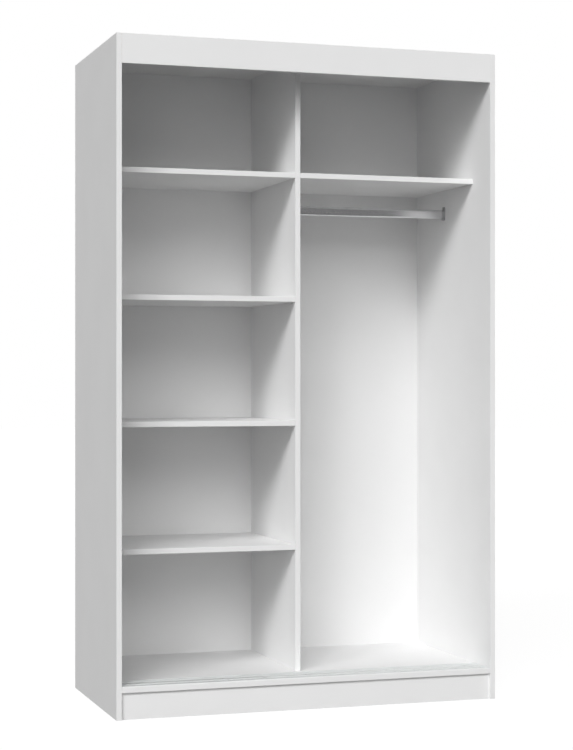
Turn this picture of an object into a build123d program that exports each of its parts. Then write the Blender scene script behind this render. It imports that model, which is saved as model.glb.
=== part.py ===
from build123d import *
import math
import os

# Open wardrobe for sliding doors: a laminated chipboard carcass with a centre divider, shelves on
# the left, a hanging bay on the right, and the two double tracks that a pair of doors would run in.
# Millimetres. X runs left to right seen from the front, Y from front to back, Z up from the floor.
# The origin is on the floor, in the middle of the width and of the overall depth.

# Carcass
WIDTH = 1200.0
HEIGHT = 2000.0
SIDE_DEPTH = 600.0
BOARD = 16.0
BACK_THICKNESS = 3.0
BACK_INSET = 2.0
EDGE_BAND = 1.0
EDGE_BAND_RADIUS = 0.7
DIVIDER_SETBACK = 135.0
PELMET_HEIGHT = 87.0
BOTTOM_PANEL_HEIGHT = 79.0
PLINTH_SETBACK = 8.0
REAR_PLINTH_INSET = 20.0

# Shelves
LOWEST_BAY = 373.0
BAY = 365.0
LOOSE_SHELVES = ("left_shelf_lower", "left_shelf_middle", "left_shelf_upper")
LOOSE_SHELF_GAP = 0.5

# Door tracks
DOOR_PITCH = 44.0
TRACK_TO_PELMET = 0.2
TRACK_END_GAP = 1.0
TOP_TRACK_HEIGHT = 42.0
TOP_TRACK_WALL = 1.6
BOTTOM_TRACK_SETBACK = 2.0
BOTTOM_TRACK_REAR = 23.0
BOTTOM_TRACK_BASE = 1.2
BOTTOM_TRACK_LIP = 3.5
BOTTOM_TRACK_RIB = 2.6
BOTTOM_TRACK_RIB_WIDTH = 1.5
WHEEL_GROOVE = 5.0

# Hanging rail: an oval tube in two open cups
RAIL_HEIGHT = 30.0
RAIL_THICKNESS = 15.0
RAIL_WALL = 1.0
RAIL_DROP = 78.0
RAIL_FIT = 0.2
CUP_WALL = 2.0
CUP_LENGTH = 10.0
FLANGE_BASE = 2.0
FLANGE_ABOVE_RAIL = 10.0
FLANGE_BELOW_RAIL = 4.0
FLANGE_CORNER = 3.0
FLANGE_SCREW_DROP = 5.0

# Cam fittings and dowels
CAM = 15.0
CAM_DISTANCE = 34.0
CAM_BELOW_AXIS = 4.5
CAM_SLOT = 7.6
CAM_SLOT_PAST_CENTRE = 4.5
CAM_CROSS = 8.0
CAM_CROSS_WIDTH = 1.6
CAM_CROSS_DEPTH = 2.5
CAP = 17.0
CAP_THICKNESS = 0.8
BOLT_BORE = 8.0
BOLT_THREAD = 5.0
BOLT_THREAD_LENGTH = 11.0
BOLT_SHANK = 6.0
BOLT_NECK = 4.0
BOLT_NECK_LENGTH = 5.0
BOLT_HEAD = 6.6
BOLT_HEAD_LENGTH = 2.5
BOLT_COLLAR = 7.4
BOLT_COLLAR_LENGTH = 2.0
DOWEL = 8.0
DOWEL_LENGTH = 30.0
DOWEL_IN_FACE = 10.0
CAM_INSET = 48.0
HOLE_SPACING = 32.0

# Screws, nails, pins and brackets
SCREW = 3.5
SCREW_HEAD = 6.5
SCREW_HEAD_LENGTH = 1.8
SCREW_LENGTH = 12.5
SCREW_RECESS = 2.6
SCREW_RECESS_DEPTH = 0.9
TRACK_SCREW_INSET = 60.0
TRACK_SCREW_SPACING = 300.0
NAIL = 1.4
NAIL_HEAD = 3.0
NAIL_HEAD_LENGTH = 0.6
NAIL_LENGTH = 20.0
NAIL_SPACING = 170.0
NAIL_CORNER_INSET = 40.0
DIVIDER_NAIL_OFFSET = 4.0
PIN = 5.0
PIN_IN_HOLE = 8.0
PIN_TONGUE = 8.0
PIN_TONGUE_WIDTH = 7.0
PIN_TONGUE_THICKNESS = 2.0
PIN_INSET = 37.0
BRACKET_LEG = 25.0
BRACKET_WIDTH = 16.0
BRACKET_THICKNESS = 1.5
BRACKET_SCREW_PLACE = 15.0

# Fits: room around a fastener in its hole, and left at the bottom of the hole
HOLE_CLEARANCE = 0.1
HOLE_END_CLEARANCE = 0.5

# Places worked out from the sizes above
depth = SIDE_DEPTH + BACK_THICKNESS
front = -depth / 2
rear_edge = front + SIDE_DEPTH
rear_face = rear_edge + BACK_THICKNESS
inner_left = -WIDTH / 2 + BOARD
inner_right = WIDTH / 2 - BOARD
half_board = BOARD / 2
top_underside = HEIGHT - BOARD
bottom_top = BOTTOM_PANEL_HEIGHT + BOARD
pelmet_rear = front + BOARD
shelf_front = front + DIVIDER_SETBACK
loose_undersides = [bottom_top + LOWEST_BAY + step * (BAY + BOARD) for step in range(len(LOOSE_SHELVES))]
top_shelf_underside = loose_undersides[-1] + BOARD + BAY
plinth_front = front + PLINTH_SETBACK
plinth_rear = plinth_front + BOARD
rear_plinth_rear = rear_edge - REAR_PLINTH_INSET
rear_plinth_front = rear_plinth_rear - BOARD
front_door_line = pelmet_rear + TRACK_TO_PELMET + (TOP_TRACK_WALL + DOOR_PITCH) / 2
rear_door_line = front_door_line + DOOR_PITCH
between_doors = (front_door_line + rear_door_line) / 2
track_span = (inner_left + TRACK_END_GAP, inner_right - TRACK_END_GAP)
track_screw_reach = inner_right - TRACK_SCREW_INSET
rail_y = (shelf_front + rear_edge) / 2
rail_z = top_shelf_underside - RAIL_DROP

RIGHT = Vector(1, 0, 0)
BACK = Vector(0, 1, 0)
UP = Vector(0, 0, 1)

# Each side panel with the X of its inner face and the direction from there into the carcass
inner_faces = (("left_side_panel", inner_left, RIGHT), ("right_side_panel", inner_right, -RIGHT))

FROM_BASE = (Align.CENTER, Align.CENTER, Align.MIN)

solids = {}
cuts = {}


def add(node, *shapes):
    """Adds solids to a node."""
    solids.setdefault(node, []).extend(shapes)


def cut(node, *tools):
    """Notes tools to be cut out of a node's solid when everything is placed."""
    cuts.setdefault(node, []).extend(tools)


def block(x, y, z):
    """A box from its low and high ends along X, Y and Z."""
    spans = (x, y, z)
    centre = [(low + high) / 2 for low, high in spans]
    return Pos(*centre) * Box(*[high - low for low, high in spans])


def rod(start, direction, length, diameter):
    """A round bar that begins at start and runs along direction."""
    bar = Cylinder(diameter / 2, length, align=FROM_BASE)
    return Plane(origin=start, z_dir=direction) * bar


def spaced(low, high, largest_gap):
    """Evenly spaced places from low to high, no further apart than largest_gap."""
    gaps = math.ceil((high - low) / largest_gap)
    return [low + (high - low) * step / gaps for step in range(gaps + 1)]


def track_screw_places():
    """Where the screws of both door tracks stand along X."""
    return spaced(-track_screw_reach, track_screw_reach, TRACK_SCREW_SPACING)


def edge_band(x, y, z, axis):
    """An edge band whose outer face is the low one along the axis, with that face's long edges rounded."""
    strip = block(x, y, z)
    long_edges = strip.faces().sort_by(axis)[0].edges().sort_by(SortBy.LENGTH)[-2:]
    return fillet(long_edges, EDGE_BAND_RADIUS)


def front_banded(node, band_node, x, y, z):
    """A board whose front edge carries an edge band."""
    add(node, block(x, (y[0] + EDGE_BAND, y[1]), z))
    add(band_node, edge_band(x, (y[0], y[0] + EDGE_BAND), z, Axis.Y))


# Boards


def make_sides():
    """The two full-height side panels, which stand on the floor."""
    z = (0, HEIGHT)
    y = (front, rear_edge)
    front_banded("left_side_panel", "left_side_edge_band", (-WIDTH / 2, inner_left), y, z)
    front_banded("right_side_panel", "right_side_edge_band", (inner_right, WIDTH / 2), y, z)


def make_top():
    """The top panel between the sides, and the pelmet in front of it that hides the top track."""
    across = (inner_left, inner_right)
    add("top_panel", block(across, (pelmet_rear, rear_edge), (top_underside, HEIGHT)))
    low = HEIGHT - PELMET_HEIGHT
    add("front_pelmet", block(across, (front, pelmet_rear), (low + EDGE_BAND, HEIGHT)))
    add("pelmet_edge_band", edge_band(across, (front, pelmet_rear), (low, low + EDGE_BAND), Axis.Z))


def make_base():
    """The bottom panel on a front plinth, a rear plinth and a support under the divider."""
    across = (inner_left, inner_right)
    level = (BOTTOM_PANEL_HEIGHT, bottom_top)
    front_banded("bottom_panel", "bottom_panel_edge_band", across, (front, rear_edge), level)
    z = (0, BOTTOM_PANEL_HEIGHT)
    add("front_plinth", block(across, (plinth_front, plinth_rear), z))
    add("rear_plinth", block(across, (rear_plinth_front, rear_plinth_rear), z))
    add("centre_support", block((-half_board, half_board), (plinth_rear, rear_plinth_front), z))


def make_divider():
    """The upright board that parts the shelves from the hanging bay."""
    x = (-half_board, half_board)
    y = (shelf_front, rear_edge)
    front_banded("centre_divider", "divider_edge_band", x, y, (bottom_top, top_underside))


def make_shelves():
    """Two fixed top shelves, and the loose shelves below the left one."""
    y = (shelf_front, rear_edge)
    z = (top_shelf_underside, top_shelf_underside + BOARD)
    front_banded("top_shelf_left", "shelf_edge_bands", (inner_left, -half_board), y, z)
    front_banded("top_shelf_right", "shelf_edge_bands", (half_board, inner_right), y, z)
    x = (inner_left + LOOSE_SHELF_GAP, -half_board - LOOSE_SHELF_GAP)
    y = (shelf_front, rear_edge - LOOSE_SHELF_GAP)
    for node, low in zip(LOOSE_SHELVES, loose_undersides):
        front_banded(node, "shelf_edge_bands", x, y, (low, low + BOARD))


def make_back():
    """Two thin back panels, nailed on from behind, that meet on the middle of the divider."""
    y = (rear_edge, rear_face)
    z = (BOTTOM_PANEL_HEIGHT + BACK_INSET, HEIGHT - BACK_INSET)
    outer = WIDTH / 2 - BACK_INSET
    add("back_panel_left", block((-outer, -LOOSE_SHELF_GAP / 2), y, z))
    add("back_panel_right", block((LOOSE_SHELF_GAP / 2, outer), y, z))


# Fittings that hold the boards together


def dowel(face_board, edge_board, place, inward):
    """A wooden dowel across the joint between a board's face and another board's edge."""
    start = place - inward * DOWEL_IN_FACE
    add("wood_dowels", rod(start, inward, DOWEL_LENGTH, DOWEL))
    hole_start = start - inward * HOLE_END_CLEARANCE
    hole_length = DOWEL_LENGTH + 2 * HOLE_END_CLEARANCE
    hole = rod(hole_start, inward, hole_length, DOWEL + 2 * HOLE_CLEARANCE)
    cut(face_board, hole)
    cut(edge_board, hole)


def cam_bolt(place, inward):
    """The bolt of a cam fitting: a thread in the face, then a collar, a shank, a neck and a head."""
    neck_end = CAM_DISTANCE + BOLT_HEAD_LENGTH / 2
    shank_length = neck_end - BOLT_HEAD_LENGTH - BOLT_NECK_LENGTH
    bolt = rod(place, -inward, BOLT_THREAD_LENGTH, BOLT_THREAD)
    bolt += rod(place, inward, BOLT_COLLAR_LENGTH, BOLT_COLLAR)
    bolt += rod(place, inward, shank_length, BOLT_SHANK)
    bolt += rod(place, inward, neck_end, BOLT_NECK)
    bolt += rod(place + inward * (neck_end - BOLT_HEAD_LENGTH), inward, BOLT_HEAD_LENGTH, BOLT_HEAD)
    return bolt


def cam_cross(plane, length, width, cross_depth):
    """A cross-shaped tool about the top face of a cam, as deep below it as above."""
    arm = Box(length, width, 2 * cross_depth)
    other_arm = Box(width, length, 2 * cross_depth)
    return plane * (arm + other_arm)


def cam_fitting(face_board, edge_board, place, inward, cam_side, capped=False):
    """A bolt in one board's face, pulled into another board's edge by a cam in that board's side."""
    cam_depth = half_board + CAM_BELOW_AXIS
    cam_top = place + inward * CAM_DISTANCE + cam_side * half_board
    plane = Plane(origin=cam_top, x_dir=inward, z_dir=cam_side)
    housing = rod(cam_top, -cam_side, cam_depth - HOLE_CLEARANCE, CAM)
    slot_length = CAM / 2 + CAM_SLOT_PAST_CENTRE
    housing -= rod(place + inward * (CAM_DISTANCE - CAM / 2), inward, slot_length, CAM_SLOT)
    housing -= cam_cross(plane, CAM_CROSS, CAM_CROSS_WIDTH, CAM_CROSS_DEPTH)
    add("cam_housings", housing)
    add("cam_bolts", cam_bolt(place, inward))
    thread_hole = BOLT_THREAD_LENGTH + HOLE_END_CLEARANCE
    cut(face_board, rod(place, -inward, thread_hole, BOLT_THREAD + 2 * HOLE_CLEARANCE))
    cut(edge_board, rod(place, inward, CAM_DISTANCE, BOLT_BORE))
    cut(edge_board, rod(cam_top, -cam_side, cam_depth, CAM + 2 * HOLE_CLEARANCE))
    if capped:
        peg_gap = 2 * HOLE_CLEARANCE
        peg = cam_cross(plane, CAM_CROSS - peg_gap, CAM_CROSS_WIDTH - peg_gap, CAM_CROSS_DEPTH - peg_gap)
        above = rod(cam_top, cam_side, CAM_CROSS_DEPTH, CAM)
        add("cam_caps", rod(cam_top, cam_side, CAP_THICKNESS, CAP) + (peg - above))


def board_joint(face_board, edge_board, corner, y, inward, cam_side, offset=0.0, capped=False):
    """A joint along Y, with a cam fitting near each end and a dowel inside each of them."""
    for cam_y, dowel_y in (
        (y[0] + CAM_INSET + offset, y[0] + CAM_INSET + offset + HOLE_SPACING),
        (y[1] - CAM_INSET - offset, y[1] - CAM_INSET - offset - HOLE_SPACING),
    ):
        cam_fitting(face_board, edge_board, Vector(corner[0], cam_y, corner[1]), inward, cam_side, capped)
        dowel(face_board, edge_board, Vector(corner[0], dowel_y, corner[1]), inward)


def join_top_and_bottom():
    """The top and bottom panels to the sides, with their cams on the outside of the carcass."""
    top_z = HEIGHT - half_board
    bottom_z = BOTTOM_PANEL_HEIGHT + half_board
    top_y = (pelmet_rear, rear_edge)
    bottom_y = (front, rear_edge)
    for side, x, inward in inner_faces:
        board_joint(side, "top_panel", (x, top_z), top_y, inward, UP)
        board_joint(side, "bottom_panel", (x, bottom_z), bottom_y, inward, -UP)


def join_divider():
    """The divider to the top and bottom panels, with its cams on the hanging side."""
    y = (shelf_front, rear_edge)
    board_joint("top_panel", "centre_divider", (0, top_underside), y, -UP, RIGHT, capped=True)
    board_joint("bottom_panel", "centre_divider", (0, bottom_top), y, UP, RIGHT, capped=True)


def join_top_shelves():
    """The fixed shelves, whose bolts and dowels meet the divider at different depths on its two sides."""
    y = (shelf_front, rear_edge)
    z = top_shelf_underside + half_board
    later = 2 * HOLE_SPACING
    board_joint("left_side_panel", "top_shelf_left", (inner_left, z), y, RIGHT, UP, capped=True)
    board_joint("centre_divider", "top_shelf_left", (-half_board, z), y, -RIGHT, UP, capped=True)
    board_joint("centre_divider", "top_shelf_right", (half_board, z), y, RIGHT, UP, later, capped=True)
    board_joint("right_side_panel", "top_shelf_right", (inner_right, z), y, -RIGHT, UP, later, capped=True)


def join_pelmet():
    """The pelmet, held between the track's screws by cams near its ends and dowels between them."""
    z = HEIGHT - half_board
    screws = track_screw_places()
    first, *inner, last = [(low + high) / 2 for low, high in zip(screws, screws[1:])]
    for x in (first, last):
        cam_fitting("front_pelmet", "top_panel", Vector(x, pelmet_rear, z), BACK, UP)
    for x in inner:
        dowel("front_pelmet", "top_panel", Vector(x, pelmet_rear, z), BACK)
    low = HEIGHT - PELMET_HEIGHT + BOARD
    dowel("left_side_panel", "front_pelmet", Vector(inner_left, front + half_board, low), RIGHT)
    dowel("right_side_panel", "front_pelmet", Vector(inner_right, front + half_board, low), -RIGHT)


def join_base():
    """Dowels hold the plinths and the centre support under the bottom panel and to each other."""
    plinth_lines = (
        ("front_plinth", (plinth_front + plinth_rear) / 2),
        ("rear_plinth", (rear_plinth_front + rear_plinth_rear) / 2),
    )
    reach = inner_right - 3 * HOLE_SPACING
    for plinth, y in plinth_lines:
        for x in (-reach, -reach / 3, reach / 3, reach):
            dowel("bottom_panel", plinth, Vector(x, y, BOTTOM_PANEL_HEIGHT), -UP)
    for y in (plinth_rear + 2.5 * HOLE_SPACING, rear_plinth_front - 2.5 * HOLE_SPACING):
        dowel("bottom_panel", "centre_support", Vector(0, y, BOTTOM_PANEL_HEIGHT), -UP)
    middle = BOTTOM_PANEL_HEIGHT / 2
    for z in (middle - half_board, middle + half_board):
        dowel("front_plinth", "centre_support", Vector(0, plinth_rear, z), BACK)
        dowel("rear_plinth", "centre_support", Vector(0, rear_plinth_front, z), -BACK)


def pan_screw(node, boards, seat, inward, clamped):
    """A pan-head screw: its head stands on the seat, and its shank goes through into the boards."""
    length = clamped + SCREW_LENGTH
    head = rod(seat, -inward, SCREW_HEAD_LENGTH, SCREW_HEAD)
    recess = rod(seat - inward * SCREW_HEAD_LENGTH, inward, SCREW_RECESS_DEPTH, SCREW_RECESS)
    add(node, head + rod(seat, inward, length, SCREW) - recess)
    hole = rod(seat, inward, length + HOLE_END_CLEARANCE, SCREW + 2 * HOLE_CLEARANCE)
    for board in boards:
        cut(board, hole)


def countersunk(seat, inward, room):
    """The outline of a countersunk screw, with room added round its shank and head."""
    cone_length = (SCREW_HEAD - SCREW) / 2
    cone = Cone(SCREW_HEAD / 2 + room, SCREW / 2 + room, cone_length, align=FROM_BASE)
    shank = rod(seat, inward, SCREW_LENGTH + room, SCREW + 2 * room)
    return Plane(origin=seat, z_dir=inward) * cone + shank


def flush_screw(node, boards, seat, inward):
    """A countersunk screw whose head ends flush with the seat."""
    recess = rod(seat, inward, SCREW_RECESS_DEPTH, SCREW_RECESS)
    add(node, countersunk(seat, inward, 0) - recess)
    for board in boards:
        cut(board, countersunk(seat, inward, HOLE_CLEARANCE))


def make_brackets():
    """A steel angle in each rear corner of the plinths, screwed to the plinth and to the side."""
    low = (BOTTOM_PANEL_HEIGHT - BRACKET_WIDTH) / 2
    z = (low, low + BRACKET_WIDTH)
    middle = low + BRACKET_WIDTH / 2
    plinths = (("front_plinth", plinth_rear, BACK), ("rear_plinth", rear_plinth_front, -BACK))
    for side, x, inward in inner_faces:
        leg_x = sorted((x, x + inward.X * BRACKET_LEG))
        plate_x = sorted((x, x + inward.X * BRACKET_THICKNESS))
        for plinth, y, away in plinths:
            leg_y = sorted((y, y + away.Y * BRACKET_LEG))
            plate_y = sorted((y, y + away.Y * BRACKET_THICKNESS))
            corner = Vector(x, y, middle)
            on_side = corner + inward * BRACKET_THICKNESS + away * BRACKET_SCREW_PLACE
            on_plinth = corner + inward * BRACKET_SCREW_PLACE + away * BRACKET_THICKNESS
            pan_screw("bracket_screws", (side, "bracket"), on_side, -inward, BRACKET_THICKNESS)
            pan_screw("bracket_screws", (plinth, "bracket"), on_plinth, -away, BRACKET_THICKNESS)
            holes = cuts.pop("bracket")
            add("plinth_brackets", block(leg_x, plate_y, z) + block(plate_x, leg_y, z) - holes)


# Door tracks


def make_bottom_track():
    """The aluminium floor track: a flat strip with a front lip and a groove for each door's wheels."""
    y = (front + BOTTOM_TRACK_SETBACK, rear_door_line + BOTTOM_TRACK_REAR)
    floor = bottom_top
    track = block(track_span, y, (floor, floor + BOTTOM_TRACK_BASE))
    wall = BOTTOM_TRACK_RIB_WIDTH
    track += block(track_span, (y[0], y[0] + wall), (floor, floor + BOTTOM_TRACK_LIP))
    track += block(track_span, (y[1] - wall, y[1]), (floor, floor + BOTTOM_TRACK_RIB))
    for line in (front_door_line, rear_door_line):
        for near in (line - WHEEL_GROOVE / 2 - wall, line + WHEEL_GROOVE / 2):
            track += block(track_span, (near, near + wall), (floor, floor + BOTTOM_TRACK_RIB))
    add("bottom_track", track)
    for x in track_screw_places():
        seat = Vector(x, between_doors, floor + BOTTOM_TRACK_BASE)
        flush_screw("bottom_track_screws", ("bottom_track", "bottom_panel"), seat, -UP)


def make_top_track():
    """The aluminium head track: three legs hang from a web and make a channel for each door."""
    y = (pelmet_rear + TRACK_TO_PELMET, rear_door_line + (DOOR_PITCH + TOP_TRACK_WALL) / 2)
    track = block(track_span, y, (top_underside - TOP_TRACK_WALL, top_underside))
    for leg in (front_door_line - DOOR_PITCH / 2, between_doors, rear_door_line + DOOR_PITCH / 2):
        leg_y = (leg - TOP_TRACK_WALL / 2, leg + TOP_TRACK_WALL / 2)
        track += block(track_span, leg_y, (top_underside - TOP_TRACK_HEIGHT, top_underside))
    add("top_track", track)
    for line in (front_door_line, rear_door_line):
        for x in track_screw_places():
            seat = Vector(x, line, top_underside - TOP_TRACK_WALL)
            pan_screw("top_track_screws", ("top_track", "top_panel"), seat, UP, TOP_TRACK_WALL)


# Hanging rail


def across_bay(x, direction):
    """A plane at x that looks along direction, centred on the rail, with its own X axis up."""
    return Plane(origin=(x, rail_y, rail_z), x_dir=UP, z_dir=direction)


def make_rail():
    """The oval tube, which stops short of the screw heads inside the flanges."""
    end_gap = FLANGE_BASE + SCREW_HEAD_LENGTH + HOLE_END_CLEARANCE
    start = half_board + end_gap
    length = inner_right - end_gap - start
    inner_height = RAIL_HEIGHT - 2 * RAIL_WALL
    inner_thickness = RAIL_THICKNESS - 2 * RAIL_WALL
    section = SlotOverall(RAIL_HEIGHT, RAIL_THICKNESS) - SlotOverall(inner_height, inner_thickness)
    add("hanging_rail", extrude(across_bay(start, RIGHT) * section, length))


def make_flange(node, board, x, inward):
    """A flange screwed to an upright, with a cup that is open at the top so that the tube drops in."""
    plane = across_bay(x, inward)
    inner_height = RAIL_HEIGHT + 2 * RAIL_FIT
    inner_width = RAIL_THICKNESS + 2 * RAIL_FIT
    outer_width = inner_width + 2 * CUP_WALL
    plate_height = FLANGE_BELOW_RAIL + RAIL_HEIGHT + FLANGE_ABOVE_RAIL
    plate_middle = (FLANGE_ABOVE_RAIL - FLANGE_BELOW_RAIL) / 2
    plate = Pos(plate_middle, 0) * RectangleRounded(plate_height, outer_width, FLANGE_CORNER)
    opening = Pos(inner_height, 0) * Rectangle(2 * inner_height, inner_width)
    cup = SlotOverall(inner_height + 2 * CUP_WALL, outer_width)
    cup -= SlotOverall(inner_height, inner_width) + opening
    add(node, extrude(plane * plate, FLANGE_BASE) + extrude(plane * cup, CUP_LENGTH))
    for height in (RAIL_HEIGHT / 2 + FLANGE_SCREW_DROP, -RAIL_HEIGHT / 2 + 2 * FLANGE_SCREW_DROP):
        seat = Vector(x, rail_y, rail_z + height) + inward * FLANGE_BASE
        pan_screw("rail_flange_screws", (node, board), seat, -inward, FLANGE_BASE)


# Small hardware


def make_shelf_pins():
    """Four pins under each loose shelf: a round peg in the upright and a flat tongue below the shelf."""
    x_faces = (("left_side_panel", inner_left, RIGHT), ("centre_divider", -half_board, -RIGHT))
    for underside in loose_undersides:
        axis_z = underside - PIN / 2
        for y in (shelf_front + PIN_INSET, rear_edge - PIN_INSET):
            for board, x, inward in x_faces:
                place = Vector(x, y, axis_z)
                peg = rod(place - inward * PIN_IN_HOLE, inward, PIN_IN_HOLE + PIN_TONGUE, PIN)
                tongue_x = sorted((x, x + inward.X * PIN_TONGUE))
                tongue_y = (y - PIN_TONGUE_WIDTH / 2, y + PIN_TONGUE_WIDTH / 2)
                tongue = block(tongue_x, tongue_y, (underside - PIN_TONGUE_THICKNESS, underside))
                add("shelf_pins", peg + tongue)
                hole_length = PIN_IN_HOLE + HOLE_END_CLEARANCE
                cut(board, rod(place, -inward, hole_length, PIN + 2 * HOLE_CLEARANCE))


def nail(back_panel, board, x, z):
    """A flat-head nail through a back panel into a board's rear edge, with its head flush."""
    place = Vector(x, rear_face, z)
    head = rod(place, -BACK, NAIL_HEAD_LENGTH, NAIL_HEAD)
    add("back_panel_nails", head + rod(place, -BACK, NAIL_LENGTH, NAIL))
    room = 2 * HOLE_CLEARANCE
    hole = rod(place, -BACK, NAIL_LENGTH + HOLE_END_CLEARANCE, NAIL + room)
    cut(back_panel, rod(place, -BACK, NAIL_HEAD_LENGTH, NAIL_HEAD + room), hole)
    cut(board, hole)


def nail_back_panels():
    """Nails round the edge of each back panel, down the divider and along the fixed shelves."""
    low = BOTTOM_PANEL_HEIGHT + half_board
    high = HEIGHT - half_board
    shelf_middle = top_shelf_underside + half_board
    for back_panel, side, shelf, towards in (
        ("back_panel_left", "left_side_panel", "top_shelf_left", -1),
        ("back_panel_right", "right_side_panel", "top_shelf_right", 1),
    ):
        side_x = towards * (WIDTH / 2 - half_board)
        for z in spaced(low + NAIL_CORNER_INSET, high - NAIL_CORNER_INSET, NAIL_SPACING):
            nail(back_panel, side, side_x, z)
            nail(back_panel, "centre_divider", towards * DIVIDER_NAIL_OFFSET, z)
        near = half_board + NAIL_CORNER_INSET
        far = inner_right - NAIL_CORNER_INSET
        for x in spaced(near, far, NAIL_SPACING):
            nail(back_panel, "top_panel", towards * x, high)
            nail(back_panel, "bottom_panel", towards * x, low)
            nail(back_panel, shelf, towards * x, shelf_middle)


def write_parts():
    """Cuts the holes and writes one STEP file for each node."""
    os.makedirs("parts", exist_ok=True)
    for node, shapes in solids.items():
        if node in cuts:
            shapes = [shapes[0] - cuts[node]]
        whole = [solid for shape in shapes for solid in shape.solids()]
        export_step(whole[0] if len(whole) == 1 else Compound(children=whole), f"parts/{node}.step")


make_sides()
make_top()
make_base()
make_divider()
make_shelves()
make_back()
join_top_and_bottom()
join_divider()
join_top_shelves()
join_pelmet()
join_base()
make_brackets()
make_bottom_track()
make_top_track()
make_rail()
make_flange("rail_flange_left", "centre_divider", half_board, RIGHT)
make_flange("rail_flange_right", "right_side_panel", inner_right, -RIGHT)
make_shelf_pins()
nail_back_panels()
write_parts()
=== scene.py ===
import bpy
import math
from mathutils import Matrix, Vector

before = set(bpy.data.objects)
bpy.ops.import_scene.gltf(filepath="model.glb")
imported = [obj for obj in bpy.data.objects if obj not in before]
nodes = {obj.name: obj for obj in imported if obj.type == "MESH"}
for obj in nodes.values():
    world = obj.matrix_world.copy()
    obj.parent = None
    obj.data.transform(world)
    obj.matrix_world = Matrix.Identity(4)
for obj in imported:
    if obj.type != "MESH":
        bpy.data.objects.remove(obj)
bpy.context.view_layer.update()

# Places and sizes are in metres and angles in degrees. X is to the right, Y to the back and Z up.
# The camera stands in front and to the left, half way up the wardrobe.
# A tilt of 90 looks level, and a yaw of 0 looks straight at the front.
CAMERA_PLACE = (-1.7816, -5.5225, 1.0)
CAMERA_TILT = 90.0
CAMERA_YAW = 17.893
CAMERA_LENS_MM = 88.12
CAMERA_SENSOR_MM = 36.0
CAMERA_SHIFT = (0.00639, 0.00225)

# Azimuth 0 is straight in front and positive is to the right.
# Each row: azimuth, elevation, width of the sun in the sky, strength.
# The two behind light only the back, the right side and the top, which the camera doesn't see.
SUNS = {
    "key_left": (-50.0, 30.0, 13.0, 1.012),
    "key_high": (-25.0, 45.0, 22.0, 0.832),
    "key_middle": (-35.0, 30.0, 13.0, 0.379),
    "fill_front": (0.0, 25.0, 22.0, 0.455),
    "fill_left": (-25.0, 25.0, 22.0, 0.184),
    "fill_low": (-25.0, 5.0, 22.0, 0.162),
    "fill_side": (-65.0, 10.0, 13.0, 0.143),
    "behind": (165.0, 10.0, 22.0, 0.90),
    "behind_right": (112.0, 10.0, 22.0, 1.09),
}
WORLD_STRENGTH = 0.207

# The floor's pale tone is mostly its own glow. Its colour is dark, so that the suns add little to it.
STAGE_DIAMETER = 60.0
FLOOR_SIDES = 96
FLOOR_GLOW = 0.92
FLOOR_COLOR = (0.12, 0.12, 0.12, 1.0)
FLOOR_ROUGHNESS = 0.9
BACKDROP_GLOW = 1.0
BACKDROP_SEGMENTS = 64
BACKDROP_RINGS = 32
FULL_WHITE = (1.0, 1.0, 1.0, 1.0)
BLACK = (0.0, 0.0, 0.0, 1.0)

# Which CAD nodes take which material. The boards go by the axis that their broad faces look along.
BOARDS_ACROSS_X = ("left_side_panel", "right_side_panel", "centre_divider", "centre_support")
BOARDS_ACROSS_Y = ("front_pelmet", "front_plinth", "rear_plinth")
BOARDS_ACROSS_Z = (
    "top_panel",
    "bottom_panel",
    "top_shelf_left",
    "top_shelf_right",
    "left_shelf_upper",
    "left_shelf_middle",
    "left_shelf_lower",
)
EDGE_BANDS = (
    "left_side_edge_band",
    "right_side_edge_band",
    "divider_edge_band",
    "bottom_panel_edge_band",
    "pelmet_edge_band",
    "shelf_edge_bands",
)
BACK_PANELS = ("back_panel_left", "back_panel_right")
TRACKS = ("top_track", "bottom_track")
RAIL = ("hanging_rail",)
ZINC_PARTS = ("rail_flange_left", "rail_flange_right", "cam_housings")
STEEL_PARTS = (
    "top_track_screws",
    "bottom_track_screws",
    "rail_flange_screws",
    "cam_bolts",
    "back_panel_nails",
    "plinth_brackets",
    "bracket_screws",
)
DOWELS = ("wood_dowels",)
PLASTIC_PARTS = ("cam_caps", "shelf_pins")

WHITE = (0.866, 0.866, 0.866)
WHITE_SHADE = (0.851, 0.851, 0.851)
CHIP_LIGHT = (0.62, 0.46, 0.29)
CHIP_DARK = (0.33, 0.21, 0.12)
FIBRE_LIGHT = (0.50, 0.34, 0.21)
FIBRE_DARK = (0.34, 0.21, 0.12)
BEECH_LIGHT = (0.74, 0.56, 0.36)
BEECH_DARK = (0.55, 0.37, 0.20)
TRACK_LIGHT = (0.76, 0.775, 0.773)
TRACK_DARK = (0.73, 0.745, 0.743)
# The next colour is a painted highlight for the front face of the bottom track's lip.
TRACK_LIP_PAINTED_HIGHLIGHT = (0.91, 0.92, 0.92)
CHROME_LIGHT = (0.74, 0.74, 0.75)
CHROME_DARK = (0.70, 0.70, 0.71)
ZINC_LIGHT = (0.52, 0.52, 0.53)
ZINC_DARK = (0.44, 0.44, 0.45)
STEEL_LIGHT = (0.70, 0.70, 0.70)
STEEL_DARK = (0.60, 0.60, 0.61)

# The limits between which a material goes from its one colour or gloss to its other.
# A noise lies mostly within NOISE_RANGE, and the slow one in the white within CLOUD_RANGE.
# CHIP_RANGE and FIBRE_RANGE are for the sums that colour chipboard and fibreboard.
NOISE_RANGE = (0.3, 0.7)
CLOUD_RANGE = (0.35, 0.65)
CHIP_RANGE = (0.3, 0.85)
FIBRE_RANGE = (0.50, 0.85)
# A surface faces an axis when its normal is within 60 degrees of it.
FACING = 0.5
# The front lip of the bottom track lies in front of this Y. Its front face gets a painted highlight.
TRACK_HIGHLIGHT_LIP_LIMIT_Y = -0.297


# Material tools


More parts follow.
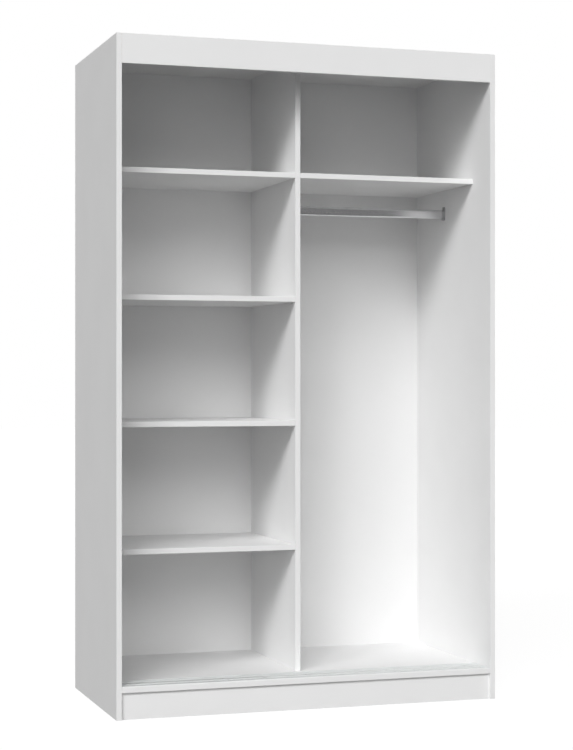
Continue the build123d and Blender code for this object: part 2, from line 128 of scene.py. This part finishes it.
class Shader:
    """A material with one Principled shader, and short calls that add and join nodes."""

    # The Mix node has several sockets of each name, so the ones for colours go by number.
    MIX_FIRST = 6
    MIX_SECOND = 7
    MIX_RESULT = 2

    def __init__(self, name):
        self.material = bpy.data.materials.new(name)
        self.material.use_nodes = True
        self.tree = self.material.node_tree
        self.principled = self.tree.nodes["Principled BSDF"]

    def node(self, kind, **settings):
        made = self.tree.nodes.new(kind)
        for key, value in settings.items():
            setattr(made, key, value)
        return made

    def join(self, source, target):
        self.tree.links.new(source, target)

    def set(self, **values):
        """Sets sockets of the Principled shader: base_color sets Base Color."""
        for key, value in values.items():
            socket = key.replace("_", " ").title().replace("Ior", "IOR")
            self.principled.inputs[socket].default_value = value

    def place(self, scale=(1.0, 1.0, 1.0)):
        """The point on the object, in metres, times scale. Under 1 draws a pattern out along that axis."""
        coordinates = self.node("ShaderNodeTexCoord")
        mapping = self.node("ShaderNodeMapping")
        mapping.inputs["Scale"].default_value = scale
        self.join(coordinates.outputs["Object"], mapping.inputs["Vector"])
        return mapping.outputs["Vector"]

    def noise(self, place, scale, detail=2.0, roughness=0.5):
        """Soft noise with about scale features to the metre."""
        made = self.node("ShaderNodeTexNoise")
        made.inputs["Scale"].default_value = scale
        made.inputs["Detail"].default_value = detail
        made.inputs["Roughness"].default_value = roughness
        self.join(place, made.inputs["Vector"])
        return made.outputs["Fac"]

    def cells(self, place, scale):
        """Cells with a random tone each, about scale of them to the metre."""
        made = self.node("ShaderNodeTexVoronoi")
        made.inputs["Scale"].default_value = scale
        self.join(place, made.inputs["Vector"])
        return made.outputs["Color"]

    def math(self, operation, first, second=0.0):
        """One step of arithmetic on one or two values, each a number or a socket."""
        made = self.node("ShaderNodeMath", operation=operation)
        for socket, value in zip(made.inputs, (first, second)):
            if isinstance(value, (int, float)):
                socket.default_value = value
            else:
                self.join(value, socket)
        return made.outputs["Value"]

    def spread(self, value, limits, new_low=0.0, new_high=1.0):
        """Maps value from its two limits to new_low and new_high, and holds it at the ends."""
        made = self.node("ShaderNodeMapRange")
        self.join(value, made.inputs["Value"])
        made.inputs["From Min"].default_value = limits[0]
        made.inputs["From Max"].default_value = limits[1]
        made.inputs["To Min"].default_value = new_low
        made.inputs["To Max"].default_value = new_high
        return made.outputs["Result"]

    def mix(self, factor, first, second):
        """A colour between first and second, each a colour or a socket."""
        made = self.node("ShaderNodeMix", data_type="RGBA")
        self.join(factor, made.inputs["Factor"])
        for number, value in ((self.MIX_FIRST, first), (self.MIX_SECOND, second)):
            if isinstance(value, tuple):
                made.inputs[number].default_value = (*value, 1.0)
            else:
                self.join(value, made.inputs[number])
        return made.outputs[self.MIX_RESULT]

    def split(self, vector, axis):
        """One of the X, Y and Z parts of a vector."""
        parts = self.node("ShaderNodeSeparateXYZ")
        self.join(vector, parts.inputs["Vector"])
        return parts.outputs[axis]

    def normal_along(self, axis):
        """How much the surface faces along an axis, from -1 to 1."""
        return self.split(self.node("ShaderNodeNewGeometry").outputs["Normal"], axis)

    def position_along(self, axis):
        """Where the surface lies along an axis of the object, in metres."""
        return self.split(self.place(), axis)

    def cloudy_white(self, place, scale):
        """White with slow, faint clouds of a slightly darker white."""
        return self.mix(self.spread(self.noise(place, scale), CLOUD_RANGE), WHITE, WHITE_SHADE)

    def bump(self, height, distance, strength):
        """Fine relief. A height of 1 stands distance metres high at full strength."""
        made = self.node("ShaderNodeBump")
        made.inputs["Distance"].default_value = distance
        made.inputs["Strength"].default_value = strength
        self.join(height, made.inputs["Height"])
        return made.outputs["Normal"]

    def finish(self, color, roughness, normal=None):
        """Joins what was made to the Principled shader, and returns the material."""
        for name, value in (("Base Color", color), ("Roughness", roughness), ("Normal", normal)):
            if value is not None:
                self.join(value, self.principled.inputs[name])
        return self.material


# Materials


def laminate(name, across):
    """White melamine on the broad faces, which look along the axis across, and on edges that look up.
    Other bare edges are chipboard, which is rougher and more uneven."""
    s = Shader(name)
    place = s.place()
    pearl = s.noise(place, scale=900.0, detail=3.0, roughness=0.6)
    grain = s.noise(place, scale=700.0, detail=4.0, roughness=0.7)
    chips = s.cells(s.place(scale=(1.0, 1.0, 1.6)), scale=330.0)
    chip_share = 0.6
    grain_share = 0.5
    speckle = s.math("ADD", s.math("MULTIPLY", chips, chip_share), s.math("MULTIPLY", grain, grain_share))
    wood = s.mix(s.spread(speckle, CHIP_RANGE), CHIP_DARK, CHIP_LIGHT)
    facing = s.math("MAXIMUM", s.math("ABSOLUTE", s.normal_along(across)), s.normal_along("Z"))
    bare = s.math("LESS_THAN", facing, FACING)
    color = s.mix(bare, s.cloudy_white(place, scale=5.0), wood)
    white_rough = s.spread(pearl, NOISE_RANGE, new_low=0.50, new_high=0.60)
    bare_extra_rough = 0.3
    bare_relief = 3.0
    rough = s.math("ADD", white_rough, s.math("MULTIPLY", bare, bare_extra_rough))
    chip_height = s.math("MULTIPLY", s.math("MULTIPLY", bare, grain), bare_relief)
    height = s.math("ADD", pearl, chip_height)
    s.set(specular_ior_level=0.25)
    return s.finish(color, rough, s.bump(height, distance=0.00004, strength=0.6))


def edging():
    """Smooth plastic edge band."""
    s = Shader("white_edging")
    place = s.place()
    grain = s.noise(place, scale=500.0)
    rough = s.spread(grain, NOISE_RANGE, new_low=0.32, new_high=0.42)
    s.set(specular_ior_level=0.5)
    return s.finish(s.cloudy_white(place, scale=8.0), rough, s.bump(grain, distance=0.00003, strength=0.5))


def hardboard():
    """Thin fibreboard, white lacquer on the side that faces the room and bare brown fibre elsewhere."""
    s = Shader("hardboard_back")
    place = s.place()
    fibres = s.noise(s.place(scale=(1.0, 1.0, 0.35)), scale=500.0, detail=6.0, roughness=0.75)
    blotch = s.noise(place, scale=16.0, detail=5.0, roughness=0.65)
    blotch_share = 0.35
    lacquer_less_rough = 0.18
    mottle = s.math("ADD", fibres, s.math("MULTIPLY", blotch, blotch_share))
    brown = s.mix(s.spread(mottle, FIBRE_RANGE), FIBRE_DARK, FIBRE_LIGHT)
    painted = s.math("LESS_THAN", s.normal_along("Y"), -FACING)
    color = s.mix(painted, brown, s.cloudy_white(place, scale=5.0))
    fibre_rough = s.spread(fibres, NOISE_RANGE, new_low=0.62, new_high=0.78)
    rough = s.math("SUBTRACT", fibre_rough, s.math("MULTIPLY", painted, lacquer_less_rough))
    return s.finish(color, rough, s.bump(fibres, distance=0.00008, strength=0.5))


def aluminium():
    """Pale satin anodised extrusion with fine lines along its length, and a painted highlight on the front
    face of its lip.
    """
    s = Shader("track_aluminium")
    lines = s.noise(s.place(scale=(0.02, 1.0, 1.0)), scale=1500.0)
    satin = s.mix(s.spread(lines, NOISE_RANGE), TRACK_DARK, TRACK_LIGHT)
    facing_front = s.math("LESS_THAN", s.normal_along("Y"), -FACING)
    at_lip = s.math("LESS_THAN", s.position_along("Y"), TRACK_HIGHLIGHT_LIP_LIMIT_Y)
    # The front face of the lip takes a painted highlight, a brighter colour than the rest of the track.
    color = s.mix(s.math("MULTIPLY", facing_front, at_lip), satin, TRACK_LIP_PAINTED_HIGHLIGHT)
    rough = s.spread(lines, NOISE_RANGE, new_low=0.38, new_high=0.48)
    s.set(metallic=0.30)
    return s.finish(color, rough, s.bump(lines, distance=0.00001, strength=0.4))


def chrome():
    """Chrome plate, with faint drawing lines along the tube and an even, slightly soft shine."""
    s = Shader("rail_chrome")
    lines = s.noise(s.place(scale=(0.01, 1.0, 1.0)), scale=400.0)
    color = s.mix(s.spread(lines, NOISE_RANGE), CHROME_DARK, CHROME_LIGHT)
    s.set(metallic=1.0)
    return s.finish(color, s.spread(lines, NOISE_RANGE, new_low=0.21, new_high=0.26))


def metal(name, light, dark, rough, scale, relief):
    """A plated or cast metal, with a fine grain in its colour, gloss and surface.
    rough is its lowest and highest roughness, and relief the height of its grain in metres."""
    s = Shader(name)
    grain = s.noise(s.place(), scale, detail=3.0, roughness=0.6)
    color = s.mix(s.spread(grain, NOISE_RANGE), dark, light)
    s.set(metallic=1.0)
    return s.finish(color, s.spread(grain, NOISE_RANGE, *rough), s.bump(grain, relief, strength=0.5))


def beech():
    """Pale beech with a fine grain, the same along every axis because the dowels lie along all three."""
    s = Shader("beech_dowel")
    grain = s.noise(s.place(), scale=450.0, detail=5.0, roughness=0.7)
    color = s.mix(s.spread(grain, NOISE_RANGE), BEECH_DARK, BEECH_LIGHT)
    rough = s.spread(grain, NOISE_RANGE, new_low=0.55, new_high=0.7)
    return s.finish(color, rough, s.bump(grain, distance=0.0001, strength=0.5))


def plastic():
    """Moulded white plastic."""
    s = Shader("white_plastic")
    grain = s.noise(s.place(), scale=1200.0)
    color = s.mix(s.spread(grain, NOISE_RANGE), WHITE_SHADE, WHITE)
    rough = s.spread(grain, NOISE_RANGE, new_low=0.38, new_high=0.46)
    return s.finish(color, rough, s.bump(grain, distance=0.00003, strength=0.4))


def paint(names, material):
    """Gives CAD nodes one material."""
    for name in names:
        slots = nodes[name].data.materials
        slots.clear()
        slots.append(material)


def paint_all():
    paint(BOARDS_ACROSS_X, laminate("laminate_across_x", "X"))
    paint(BOARDS_ACROSS_Y, laminate("laminate_across_y", "Y"))
    paint(BOARDS_ACROSS_Z, laminate("laminate_across_z", "Z"))
    paint(EDGE_BANDS, edging())
    paint(BACK_PANELS, hardboard())
    paint(TRACKS, aluminium())
    paint(RAIL, chrome())
    zinc = metal("zinc_fittings", ZINC_LIGHT, ZINC_DARK, rough=(0.30, 0.42), scale=800.0, relief=0.00004)
    paint(ZINC_PARTS, zinc)
    steel = metal("screw_steel", STEEL_LIGHT, STEEL_DARK, rough=(0.22, 0.32), scale=900.0, relief=0.00002)
    paint(STEEL_PARTS, steel)
    paint(DOWELS, beech())
    paint(PLASTIC_PARTS, plastic())


# Camera, light and floor


def make_camera():
    data = bpy.data.cameras.new("camera")
    data.lens = CAMERA_LENS_MM
    data.sensor_width = CAMERA_SENSOR_MM
    data.shift_x, data.shift_y = CAMERA_SHIFT
    camera = bpy.data.objects.new("camera", data)
    camera.location = CAMERA_PLACE
    camera.rotation_euler = (math.radians(CAMERA_TILT), 0.0, math.radians(-CAMERA_YAW))
    bpy.context.scene.collection.objects.link(camera)
    bpy.context.scene.camera = camera


def make_sun(name, azimuth, elevation, width, strength):
    """A soft distant light."""
    data = bpy.data.lights.new(name, "SUN")
    data.angle = math.radians(width)
    data.energy = strength
    light = bpy.data.objects.new(name, data)
    turn = math.radians(azimuth)
    rise = math.radians(elevation)
    towards = Vector((math.sin(turn) * math.cos(rise), -math.cos(turn) * math.cos(rise), math.sin(rise)))
    light.rotation_euler = towards.to_track_quat("Z", "Y").to_euler()
    bpy.context.scene.collection.objects.link(light)


def make_world(strength):
    """An even white light from all round."""
    world = bpy.data.worlds.new("studio")
    world.use_nodes = True
    background = world.node_tree.nodes["Background"]
    background.inputs["Color"].default_value = FULL_WHITE
    background.inputs["Strength"].default_value = strength
    bpy.context.scene.world = world


def stage_piece(name, material):
    """Puts the object just added on the set, seen but casting no light or shade on the wardrobe."""
    piece = bpy.context.object
    piece.name = name
    piece.data.materials.append(material)
    piece.visible_diffuse = False
    piece.visible_glossy = False
    piece.visible_transmission = False
    piece.visible_shadow = False


def make_stage():
    """A pale floor that glows almost white, so it shows only a faint shadow, and a white dome round it."""
    floor = Shader("floor")
    floor.set(base_color=FLOOR_COLOR, roughness=FLOOR_ROUGHNESS, specular_ior_level=0.0)
    floor.set(emission_color=FULL_WHITE, emission_strength=FLOOR_GLOW)
    radius = STAGE_DIAMETER / 2.0
    bpy.ops.mesh.primitive_circle_add(vertices=FLOOR_SIDES, radius=radius, fill_type="NGON")
    stage_piece("floor", floor.material)
    dome = Shader("backdrop")
    dome.set(base_color=BLACK, specular_ior_level=0.0)
    dome.set(emission_color=FULL_WHITE, emission_strength=BACKDROP_GLOW)
    bpy.ops.mesh.primitive_uv_sphere_add(segments=BACKDROP_SEGMENTS, ring_count=BACKDROP_RINGS, radius=radius)
    stage_piece("backdrop", dome.material)


view = bpy.context.scene.view_settings
view.view_transform = "Standard"
view.look = "None"

make_camera()
make_world(WORLD_STRENGTH)
for sun_name, sun in SUNS.items():
    make_sun(sun_name, *sun)
make_stage()
paint_all()
